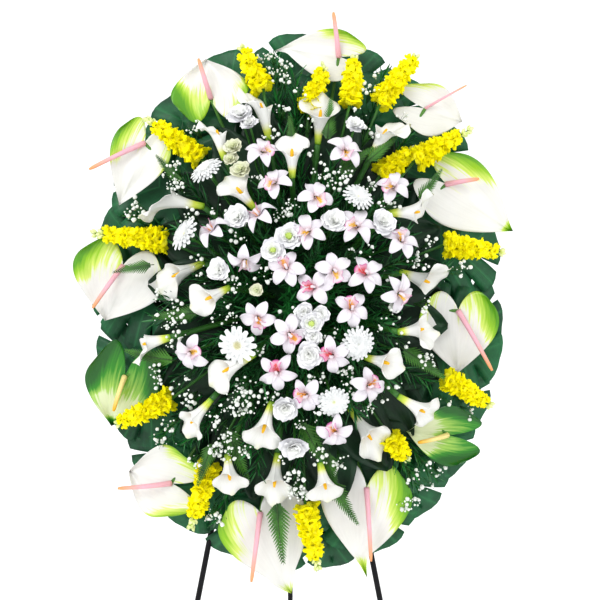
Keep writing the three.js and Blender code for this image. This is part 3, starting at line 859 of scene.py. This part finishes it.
def lip_finish(name, heart, throat, pale, rim):
    finish = Finish(name, roughness=0.38)
    drift = finish.group(MOTTLE, "Amount", Scale=260, Contrast=1.6)
    uneven = math_node(finish.tree, "MULTIPLY", math_node(finish.tree, "SUBTRACT", drift, 0.5), 0.25)
    spread = math_node(finish.tree, "ADD", finish.flush(), uneven)
    color = finish.ramp(
        spread, (0.03, heart), (0.08, throat), (0.15, throat), (0.26, pale), (0.60, pale), (0.85, rim)
    )
    finish.set("Base Color", color)
    finish.set("Coat Weight", 0.1)
    return finish.material


def add_tepal(bm, length, width, cup, twist):
    def shape(s, t):
        wide = math.sin(math.pi * (0.10 + 0.86 * t ** 1.1)) ** 0.62
        bow = cup * length * math.sin(math.pi * t) - 0.16 * length * t * t
        z = bow + 0.20 * width * s * s * wide + twist * s * t * width * 0.5
        x = s * width / 2 * wide + twist * length * 0.15 * t * t
        return (x, 0.1 * length + 0.9 * t * length, z), 0.8 * max(0, 0.22 - t) / 0.22

    add_sheet(bm, 8, 10, shape, 0, 0.0009)


def add_lip(bm, length):
    """Two side lobes that rise beside the column and a broad front lobe that rolls down at its rim."""

    def shape(s, t):
        waist = 0.50 + 0.62 * math.exp(-((t - 0.34) / 0.20) ** 2)
        waist += 0.62 * math.exp(-((t - 0.80) / 0.22) ** 2)
        wide = 0.40 * length * waist * min(1, 5 * (1.05 - t)) ** 0.6
        raised = 0.80 * length * abs(s) ** 1.6 * math.exp(-((t - 0.34) / 0.24) ** 2)
        roll = -0.85 * length * max(0, t - 0.62) ** 1.5
        frill = 0.035 * length * math.sin(8 * s) * t ** 3
        rim = max(abs(s) ** 2.5 * min(1, 3 * t), max(0, t - 0.62) / 0.38)
        centre = 0.10 * min(1, t / 0.4) + 0.30 * abs(s)
        return (s * wide, -length * t, 0.34 * length * t + raised + roll + frill), max(rim, centre)

    add_sheet(bm, 14, 16, shape, 1, 0.0008)


tepal_pink = orchid_finish()
COLUMN_PINK = 0.35
lips = [
    lip_finish("pale lip", (0.34, 0.08, 0.02), (0.80, 0.50, 0.06), (0.76, 0.62, 0.68), (0.66, 0.32, 0.50)),
    lip_finish("rose lip", (0.30, 0.04, 0.02), (0.78, 0.38, 0.05), (0.74, 0.52, 0.60), (0.56, 0.14, 0.38)),
    lip_finish(
        "magenta lip", (0.36, 0.03, 0.03), (0.70, 0.12, 0.12), (0.72, 0.34, 0.46), (0.54, 0.10, 0.32)
    ),
]
# The place of each bloom, the direction its lip points in, its lip's depth of colour, how far the
# bloom nods over to the lip's side, and its CAD number.
ORCHIDS = [
    (0.036, 0.213, 300, 0, 8, 1), (-0.078, 0.176, 130, 1, 30, 2), (0.072, 0.064, 290, 0, 0, 3),
    (-0.017, -0.062, 320, 1, 5, 4), (0.016, -0.184, 165, 1, 8, 5), (-0.072, 0.308, 330, 0, 8, 0),
    (-0.046, 0.243, 230, 0, 5, 0), (0.096, 0.310, 262, 0, 12, 0), (0.194, 0.237, 205, 0, 20, 0),
    (0.118, 0.154, 190, 0, 5, 0), (0.209, 0.126, 110, 0, 15, 0), (-0.172, 0.146, 140, 1, 30, 0),
    (0.021, 0.143, 225, 0, 10, 0), (-0.106, 0.086, 265, 0, 62, 0), (-0.023, 0.070, 115, 1, 5, 0),
    (0.136, 0.059, 160, 2, 10, 0), (0.031, 0.031, 180, 2, 8, 0), (0.204, 0.019, 315, 0, 15, 0),
    (0.106, -0.011, 100, 1, 8, 0), (0.067, -0.104, 150, 2, 8, 0), (-0.217, -0.100, 20, 0, 5, 0),
    (-0.041, -0.137, 95, 2, 5, 0), (0.142, -0.167, 45, 1, 15, 0), (0.075, -0.259, 120, 1, 8, 0),
    (-0.081, -0.029, 310, 1, 8, 0),
]
TEPALS = ((0, 0.0240), (62, 0.0250), (-62, 0.0250), (134, 0.0235), (-134, 0.0235))
rng = random.Random(31)

for count, (x, y, lip_direction, depth, nod, number) in enumerate(ORCHIDS, start=1):
    bm = new_bmesh()
    size = 0.039 * rng.uniform(0.94, 1.06)
    for turn, width in TEPALS:
        cup = rng.uniform(0.02, 0.22) + (0.10 if abs(turn) == 62 else 0)
        long = size * rng.uniform(0.94, 1.04)
        tepal = prototype(
            lambda part: add_tepal(part, long, width * rng.uniform(0.92, 1.08), cup, rng.uniform(-0.5, 0.5))
        )
        put(bm, tepal, turned(turn + rng.uniform(-9, 9), "Z"))
    add_lip(bm, 0.0260)
    column = bent((0, 0.002, 0.002), (0, 0.003, 0.012), (0, -0.005, 0.015))
    add_tube(bm, column, lambda t: 0.0024 + 0.0008 * t, 8, 6, 0, lambda t: COLUMN_PINK)
    level = dome(x, y)
    turn = turned(nod, "X") @ turned(rng.uniform(-8, 8), "Y")
    bm.transform(opened(x, y, level, lip_direction + 180, 0.8) @ turn)
    inside = Vector((0.72 * x, 0.72 * y, FOAM_FRONT - 0.02))
    if abs(inside.y) > FOAM_HALF_HEIGHT - 0.02:
        inside.y = math.copysign(FOAM_HALF_HEIGHT - 0.02, inside.y)
    if abs(inside.x) > FOAM_HALF_WIDTH - 0.02:
        inside.x = math.copysign(FOAM_HALF_WIDTH - 0.02, inside.x)
    add_tube(bm, bent(inside, (0.8 * x, 0.8 * y, 0.6 * level), (x, y, level)), lambda t: 0.0022, 6, 5, 2)
    node = f"orchid_{number}" if number else None
    finished(f"orchid_bloom_{count}", bm, [tepal_pink, lips[depth], stem_green], node)
    claim(x, y, 0.030)


# Gerberas and daisies. Flat strap rays in rings round a raised eye of tiny florets, on bare stems.

def plain_petal_finish(name, low, high, blush, roughness=0.5):
    finish = Finish(name, roughness)
    drift = finish.group(MOTTLE, "Amount", Scale=70, Contrast=1.6)
    white = finish.ramp(drift, (0.2, low), (0.8, high))
    streaks = finish.group(STREAKS, "Amount", Across=12, Along=1.5, Contrast=1.2)
    finish.set("Base Color", finish.mixed("MIX", finish.flush(), white, blush))
    finish.bumped(streaks, 0.4, 0.0006)
    return finish.material


ray_white = plain_petal_finish("ray white", (0.60, 0.62, 0.62), (0.80, 0.81, 0.81), (0.80, 0.84, 0.55))
eye_cream = plain_petal_finish("eye cream", (0.66, 0.60, 0.22), (0.86, 0.82, 0.50), (0.55, 0.66, 0.12), 0.7)
eye_green = plain_petal_finish("eye green", (0.52, 0.58, 0.10), (0.72, 0.76, 0.30), (0.4, 0.55, 0.08), 0.7)


def add_ray(bm, length, width, lift):
    def shape(s, t):
        wide = 0.55 + 0.45 * math.sin(math.pi * min(1, t * 1.1)) if t < 0.9 else 0.62
        blunt = 1 - 0.05 * s * s if t == 1 else 1
        z = lift * length * math.sin(math.pi * t * 0.8) - 0.05 * length * t * t + 0.12 * width * s * s
        return (s * width / 2 * wide, length * t * blunt, z), max(0, 0.25 - t)

    add_sheet(bm, 2, 6, shape, 0)


def add_eye(bm, radius, finish):
    """Tiny pointed florets packed in a sunflower spiral over a low mound."""
    floret = prototype(lambda part: bmesh.ops.create_cone(
        part, cap_ends=True, segments=5, radius1=1, radius2=0.35, depth=2.2, calc_uvs=True))
    for count in range(70):
        away = radius * math.sqrt((count + 0.5) / 70)
        angle = count * 2.39996
        height = 0.28 * radius * (1 - (away / radius) ** 2)
        place = Matrix.Translation((away * math.cos(angle), away * math.sin(angle), height + 0.001))
        first = len(bm.faces)
        put(bm, floret, place @ Matrix.Scale(radius * 0.085, 4))
        bm.faces.ensure_lookup_table()
        for face in bm.faces[first:]:
            face.material_index = finish


# Place, radius, direction of lean, how far it leans, rings, rays, ray width and eye.
GERBERAS = [
    (-0.187, 0.271, 0.037, 1.3, 3, 20, 0.0100, 0.008, eye_cream),
    (-0.230, 0.140, 0.038, 1.6, 2, 14, 0.0140, 0.007, eye_cream),
    (0.121, 0.214, 0.034, 1.2, 2, 18, 0.0095, 0.006, eye_cream),
    (-0.121, -0.085, 0.040, 0.8, 1, 14, 0.0155, 0.0110, eye_cream),
    (0.119, -0.081, 0.037, 0.8, 5, 20, 0.0095, 0.004, eye_cream),
    (0.072, -0.198, 0.034, 0.6, 2, 20, 0.0105, 0.0095, eye_green),
]
rng = random.Random(41)

for count, (x, y, radius, tilt, rings, rays, width, eye, eye_finish) in enumerate(GERBERAS, start=1):
    bm = new_bmesh()
    for ring in range(rings):
        reach = radius * (1 - 0.17 * ring)
        for ray in range(rays):
            strap = prototype(
                lambda part: add_ray(part, reach * rng.uniform(0.93, 1.04), width, 0.05 + 0.11 * ring)
            )
            turn = 2 * math.pi * (ray + 0.5 * ring) / rays + rng.uniform(-0.06, 0.06)
            put(bm, strap, Matrix.Rotation(turn, 4, "Z") @ Matrix.Translation((0, 0, 0.0016 * ring)))
    add_eye(bm, eye, 1)
    cup = bent((0, 0, -0.012), (0, 0, -0.006), (0, 0, 0))
    add_tube(bm, cup, lambda t: 0.003 + 0.008 * t, 12, 4, 2)
    level = dome(x, y) + 0.004
    place = opened(x, y, level, rng.uniform(60, 120), tilt)
    bm.transform(place)
    foot = place @ Vector((0, 0, -0.008))
    inside = Vector((0.5 * x, 0.5 * y, FOAM_FRONT - 0.02))
    add_tube(bm, bent(inside, (0.8 * x, 0.8 * y, 0.6 * level), foot), lambda t: 0.0026, 6, 6, 2)
    finished(f"gerbera_{count}", bm, [ray_white, eye_finish, stem_green], None, False)
    claim(x, y, 0.8 * radius)


# Lisianthus and stock. Small double blooms like roses, of broad thin ruffled petals lapped in a
# spiral, some with the green heart showing.

def add_rose(bm, radius, heart, source):
    petals = 15
    for count in range(petals):
        share = ((count + 1) / petals) ** 0.8
        reach = radius * (0.40 + 0.66 * share)
        petal = prototype(lambda part: add_petal(
            part, reach, 1.30 * reach, 0.16, 0.09 * reach, source.uniform(0, 6),
            6, 6, 0, 0.6 * (1 - share), 0.45))
        turn = turned(137.5 * count + source.uniform(-12, 12), "Z")
        steep = turned(66 - 60 * share + source.uniform(-6, 6), "X")
        put(bm, petal, turn @ Matrix.Translation((0, -0.06 * radius, -0.12 * radius * share)) @ steep)
    if heart:
        made = bmesh.ops.create_icosphere(bm, subdivisions=2, radius=0.22 * radius, calc_uvs=True)["verts"]
        for vert in made:
            vert.co.z += 0.30 * radius
        for face in {face for vert in made for face in vert.link_faces}:
            face.material_index = 1


rose_white = plain_petal_finish(
    "lisianthus white", (0.80, 0.80, 0.84), (0.92, 0.92, 0.94), (0.86, 0.88, 0.80), 0.55
)
rose_cream = plain_petal_finish(
    "stock cream", (0.70, 0.71, 0.54), (0.82, 0.82, 0.70), (0.70, 0.76, 0.45), 0.55
)
heart_green = plain_petal_finish("green heart", (0.30, 0.45, 0.05), (0.55, 0.66, 0.20), (0.3, 0.5, 0.1), 0.6)
ROSES = [
    (0.117, 0.363, 0.021, 0, 0), (-0.121, 0.171, 0.026, 0, 0), (-0.018, 0.131, 0.027, 1, 0),
    (-0.049, 0.103, 0.024, 1, 0), (0.072, 0.163, 0.025, 0, 0), (-0.159, 0.065, 0.023, 0, 0),
    (0.022, -0.102, 0.026, 0, 0), (-0.025, -0.209, 0.026, 0, 0), (-0.008, -0.291, 0.027, 0, 0),
    (0.172, 0.163, 0.025, 0, 0), (0.026, -0.040, 0.024, 1, 0), (0.012, -0.018, 0.018, 0, 0),
    (0.044, -0.022, 0.017, 0, 0), (0.030, -0.066, 0.017, 0, 0), (-0.133, 0.318, 0.019, 0, 1),
    (-0.116, 0.270, 0.020, 0, 1), (-0.138, 0.292, 0.015, 0, 1), (-0.083, 0.026, 0.013, 0, 1),
    (-0.118, 0.388, 0.026, 0, 0), (-0.100, 0.368, 0.018, 0, 0),
]
rng = random.Random(47)

for count, (x, y, radius, heart, cream) in enumerate(ROSES, start=1):
    bm = new_bmesh()
    add_rose(bm, 1.2 * radius, heart, rng)
    level = dome(x, y) - 0.006
    place = opened(x, y, level, rng.uniform(0, 360), 0.8)
    bm.transform(place)
    foot = place @ Vector((0, 0, 0.002))
    inside = Vector((0.6 * x, 0.6 * y, FOAM_FRONT - 0.02))
    add_tube(bm, bent(inside, (0.85 * x, 0.85 * y, 0.6 * level), foot), lambda t: 0.0024, 6, 5, 2)
    petals = rose_cream if cream else rose_white
    finished(f"lisianthus_{count}", bm, [petals, heart_green, stem_green], None, False)
    claim(x, y, 0.8 * radius)


# Backing leaves. Plain broad lance-shaped leaves laid out from the foam's sides over the feet of the
# monstera leaves, so that no light shows between the block and the rim.

def add_lance(bm, length, width, source):
    phase = source.uniform(0, 6)

    def shape(s, t):
        wide = math.sin(math.pi * (0.06 + 0.93 * t ** 0.9)) ** 0.7
        z = 0.14 * width * abs(s) + 0.05 * length * math.sin(2.2 * t + phase)
        z += 0.02 * width * math.sin(14 * t + 4 * s)
        return (s * width / 2 * wide, t * length, z), 0

    add_sheet(bm, 6, 14, shape, 0, 0.0008)


backing_green = leaf_finish(
    "backing leaf", (0.002, 0.020, 0.007), (0.008, 0.060, 0.020), (0.02, 0.10, 0.03), 0.5
)
rng = random.Random(57)
bm = new_bmesh()
for ring, count in enumerate((20, 22)):
    for step in range(count):
        angle = 2 * math.pi * (step + 0.5 * ring) / count
        edge = Vector((FOAM_HALF_WIDTH * 0.9 * math.cos(angle), FOAM_HALF_HEIGHT * 0.9 * math.sin(angle), 0))
        away = Vector((RIM[0] * math.cos(angle), RIM[1] * math.sin(angle), 0)) - edge
        leaf = prototype(lambda part: add_lance(part, 0.62 * away.length, 0.13, rng))
        heading = math.degrees(math.atan2(away.y, away.x)) + rng.uniform(-8, 8)
        put(
            bm, leaf,
            pointed(edge.x, edge.y, 0.018 + 0.020 * ring, heading, 1 + 3 * ring, rng.uniform(-6, 6))
        )
finished("backing_leaves", bm, [backing_green], None, False)


# Dark greens. Sprigs of long narrow glossy leaves, pushed in all over the foam first, so that they
# fill the spray behind the flowers and hide the block.

def add_strap(bm, length, width, bow, phase):
    def shape(s, t):
        wide = math.sin(math.pi * (0.10 + 0.88 * t)) ** 0.6
        z = bow * length * t * t + 0.25 * width * abs(s)
        return (s * width / 2 * wide + 0.04 * length * math.sin(phase + 2 * t), t * length, z), 0

    add_sheet(bm, 2, 4, shape, 0)


def make_sprig(seed, leaves, leaf_length, leaf_width, length):
    source = random.Random(seed)

    def build(bm):
        path = bent((0, 0, 0), (source.uniform(-0.01, 0.01), 0.5 * length, 0.012), (0, length, 0))
        add_tube(bm, path, lambda t: 0.0014 * (1 - 0.6 * t), 4, 4, 1)
        for count in range(leaves):
            share = 0.12 + 0.86 * count / leaves
            size = leaf_length * source.uniform(0.7, 1.1) * (1 - 0.35 * share)
            strap = prototype(lambda part: add_strap(
                part, size, leaf_width * source.uniform(0.8, 1.2),
                source.uniform(-0.2, 0.1), source.uniform(0, 6)))
            around = Matrix.Rotation(count * 2.39996, 4, "Y")
            splay = Matrix.Rotation(math.radians(source.uniform(28, 52)), 4, "X")
            put(bm, strap, Matrix.Translation(path(share)) @ around @ splay)

    return prototype(build)


def sprig_finish(name, dark, light):
    finish = Finish(name, roughness=0.35)
    drift = finish.group(MOTTLE, "Amount", Scale=22, Contrast=3.0)
    rib = finish.group(VEINS, "Line", Count=1.0, Fan=0.0, Sharpness=14)
    green = finish.ramp(drift, (0.1, dark), (0.9, light))
    finish.set("Base Color", finish.mixed("MIX", math_node(finish.tree, "MULTIPLY", rib, 0.3), green, light))
    finish.set("Coat Weight", 0.1)
    return finish.material


needle_dark = sprig_finish("narrow leaf", (0.005, 0.050, 0.014), (0.028, 0.235, 0.050))
twig = sprig_finish("twig", (0.02, 0.05, 0.012), (0.05, 0.12, 0.03))
SPRIGS = [make_sprig(seed, 30, 0.050, 0.0042, 0.14) for seed in range(61, 66)]
rng = random.Random(53)
ROWS_OF_SPRIGS = [(0.10, 9), (0.24, 19), (0.38, 31), (0.52, 44), (0.66, 56), (0.78, 66), (0.88, 66)]
for row, (share, count) in enumerate(ROWS_OF_SPRIGS, start=1):
    bm = new_bmesh()
    for step in range(count):
        angle = 2 * math.pi * (step + rng.uniform(-0.3, 0.3)) / count
        reach = share + rng.uniform(-0.06, 0.06)
        x = RIM[0] * reach * math.cos(angle)
        y = RIM[1] * reach * math.sin(angle)
        covered = not is_open(x, y, 0.010)
        if covered and dome(x, y) < 0.17:
            continue
        under = 0.055 if covered else 0.030
        tip = Vector((x, y, max(0.020, dome(x, y) - under + rng.uniform(-0.015, 0.012))))
        foot = Vector((0.62 * x, 0.62 * y, 0.55 * tip.z))
        away = (tip - foot).normalized()
        start = tip - 0.15 * away
        roll = Matrix.Rotation(rng.uniform(0, 6.28), 4, "Y")
        put(bm, rng.choice(SPRIGS), aimed(start, tip) @ roll @ Matrix.Scale(rng.uniform(0.9, 1.15), 4))
    finished(f"narrow_leaf_sprigs_{row}", bm, [needle_dark, twig], None, False)


# Leatherleaf fern. Triangular fronds whose toothed side leaflets shorten to the tip.

def add_leaflet(bm, length, width):
    teeth = 7

    def shape(s, t):
        step = (t * teeth) % 1
        wide = (1 - t) ** 0.6 * (0.45 + 0.55 * step if t < 1 else 0)
        wide = max(wide, 0.05 if t < 1 else 0)
        return (s * width / 2 * wide, length * t, -0.12 * length * t * t - 0.1 * width * abs(s)), t

    add_sheet(bm, 2, 14, shape, 0)


def make_frond(seed, length):
    source = random.Random(seed)
    pairs = 17

    def build(bm):
        path = bent((0, 0, 0), (0, 0.5 * length, 0.02), (0, length, -0.01))
        add_tube(bm, path, lambda t: 0.0016 * (1 - 0.8 * t), 4, 6, 1)
        for pair in range(pairs):
            share = 0.10 + 0.88 * pair / pairs
            size = 0.24 * length * (1 - share) ** 0.8 + 0.005
            for side in (-1, 1):
                leaflet = prototype(
                    lambda part: add_leaflet(part, size * source.uniform(0.9, 1.08), 0.30 * size + 0.003)
                )
                swing = Matrix.Rotation(-side * math.radians(46 - 14 * share), 4, "Z")
                put(bm, leaflet, Matrix.Translation(path(share)) @ swing)

    return prototype(build)


def fern_finish():
    finish = Finish("fern frond", roughness=0.42)
    drift = finish.group(MOTTLE, "Amount", Scale=18, Contrast=2.6)
    green = finish.ramp(drift, (0.15, (0.006, 0.050, 0.006)), (0.85, (0.055, 0.19, 0.018)))
    finish.set(
        "Base Color",
        finish.mixed("MIX", math_node(finish.tree, "MULTIPLY", finish.flush(), 0.3), green, (0.10, 0.30, 0.03))
    )
    return finish.material


fern_green = fern_finish()
FRONDS = [make_frond(seed, 0.15) for seed in range(71, 74)]
# Foot, direction the frond points in and its size against the others.
FERNS = [
    (-0.148, -0.250, 290, 0.9), (0.004, -0.236, 298, 0.9),
    (0.066, -0.363, 300, 0.8), (-0.045, -0.405, 275, 1.0),
    (0.248, 0.211, 52, 0.6), (0.209, -0.090, 325, 0.8), (-0.300, 0.080, 190, 0.6), (-0.240, 0.250, 135, 0.6),
    (-0.250, -0.120, 170, 0.8), (-0.175, -0.285, 250, 0.7), (0.080, 0.260, 40, 0.7), (0.140, 0.290, 40, 0.6),
    (0.060, 0.330, 85, 0.7), (-0.010, 0.300, 95, 0.6), (-0.200, -0.020, 185, 0.7), (0.060, -0.300, 280, 0.7),
]
bm = new_bmesh()
rng = random.Random(59)
for x, y, direction, size in FERNS:
    level = dome(x, y) - 0.045
    lift = rng.uniform(-14, 2)
    put(
        bm, rng.choice(FRONDS),
        pointed(x, y, level, direction, lift, rng.uniform(-15, 15)) @ Matrix.Scale(size, 4)
    )
finished("fern_fronds", bm, [fern_green, twig], None, False)


# Baby's breath. Hair-thin branching stems that end in loose clusters of small white pompoms.

def make_cluster(seed, balls, spread):
    source = random.Random(seed)

    def build(bm):
        for _ in range(balls):
            angle = source.uniform(0, 2 * math.pi)
            away = spread * math.sqrt(source.random())
            end = Vector((away * math.cos(angle), away * math.sin(angle), source.uniform(-0.010, 0.010)))
            add_tube(bm, bent((0, 0, -0.035), 0.4 * end, end), lambda t: 0.0004, 3, 2, 1)
            made = bmesh.ops.create_icosphere(
                bm, subdivisions=2, radius=0.0014 + 0.0036 * source.random() ** 2, calc_uvs=True
            )
            for vert in made["verts"]:
                vert.co = vert.co * source.uniform(0.86, 1.14) + end
            for face in {face for vert in made["verts"] for face in vert.link_faces}:
                face.smooth = True

    return prototype(build)


pompom_white = plain_petal_finish(
    "baby's breath", (0.66, 0.70, 0.64), (0.84, 0.86, 0.83), (0.7, 0.8, 0.5), 0.7
)
CLUSTERS = [make_cluster(seed, balls, 0.020) for seed, balls in ((81, 10), (82, 7), (83, 12), (84, 5))]
rng = random.Random(67)
bm = new_bmesh()
clusters = 0
while clusters < 150:
    x = RIM[0] * rng.uniform(-0.97, 0.97)
    y = RIM[1] * rng.uniform(-0.97, 0.97)
    if (x / RIM[0]) ** 2 + (y / RIM[1]) ** 2 < 0.84 and is_open(x, y, 0.010):
        level = dome(x, y) + rng.uniform(-0.016, 0.0)
        size = rng.uniform(0.7, 1.15)
        put(bm, rng.choice(CLUSTERS), opened(x, y, level, rng.uniform(0, 360)) @ Matrix.Scale(size, 4))
        clusters += 1
finished("babys_breath", bm, [pompom_white, stem_green], None, False)


# Studio. A pale floor, large soft lights and a camera at eye height, square to the spray.

floor_bm = bmesh.new()
bmesh.ops.create_grid(floor_bm, x_segments=1, y_segments=1, size=30)
floor_mesh = bpy.data.meshes.new("studio_floor")
floor_bm.to_mesh(floor_mesh)
floor_bm.free()
floor_finish = Finish("pale floor", roughness=0.9)
floor_finish.set("Base Color", (0.98, 0.98, 0.98, 1))
floor_mesh.materials.append(floor_finish.material)
floor = bpy.data.objects.new("studio_floor", floor_mesh)
bpy.context.scene.collection.objects.link(floor)

world = bpy.data.worlds.new("studio")
world.use_nodes = True
world.node_tree.nodes["Background"].inputs["Color"].default_value = (1, 1, 1, 1)
world.node_tree.nodes["Background"].inputs["Strength"].default_value = 1.02
bpy.context.scene.world = world
bpy.context.scene.view_settings.view_transform = "Standard"
bpy.context.scene.view_settings.look = "Medium High Contrast"

AIM = ORIGIN


def add_light(name, place, size, power):
    lamp = bpy.data.lights.new(name, "AREA")
    lamp.size = size
    lamp.energy = power
    holder = bpy.data.objects.new(name, lamp)
    holder.location = Vector(place)
    holder.rotation_mode = "QUATERNION"
    holder.rotation_quaternion = (AIM - holder.location).to_track_quat("-Z", "Y")
    bpy.context.scene.collection.objects.link(holder)


add_light("key", (-1.4, -2.6, 3.2), 1.6, 34)
add_light("fill", (2.4, -2.2, 1.8), 2.0, 8)
add_light("back", (0.5, 2.6, 2.6), 2.0, 8)

CAMERA_DISTANCE = 3.2
VIEW_WIDTH = 1.29
lens = bpy.data.cameras.new("camera")
lens.sensor_width = 36
lens.lens = lens.sensor_width * CAMERA_DISTANCE / VIEW_WIDTH
camera = bpy.data.objects.new("camera", lens)
camera.matrix_world = SPRAY @ Matrix.Translation((0.004, 0.006, CAMERA_DISTANCE))
bpy.context.scene.collection.objects.link(camera)
bpy.context.scene.camera = camera
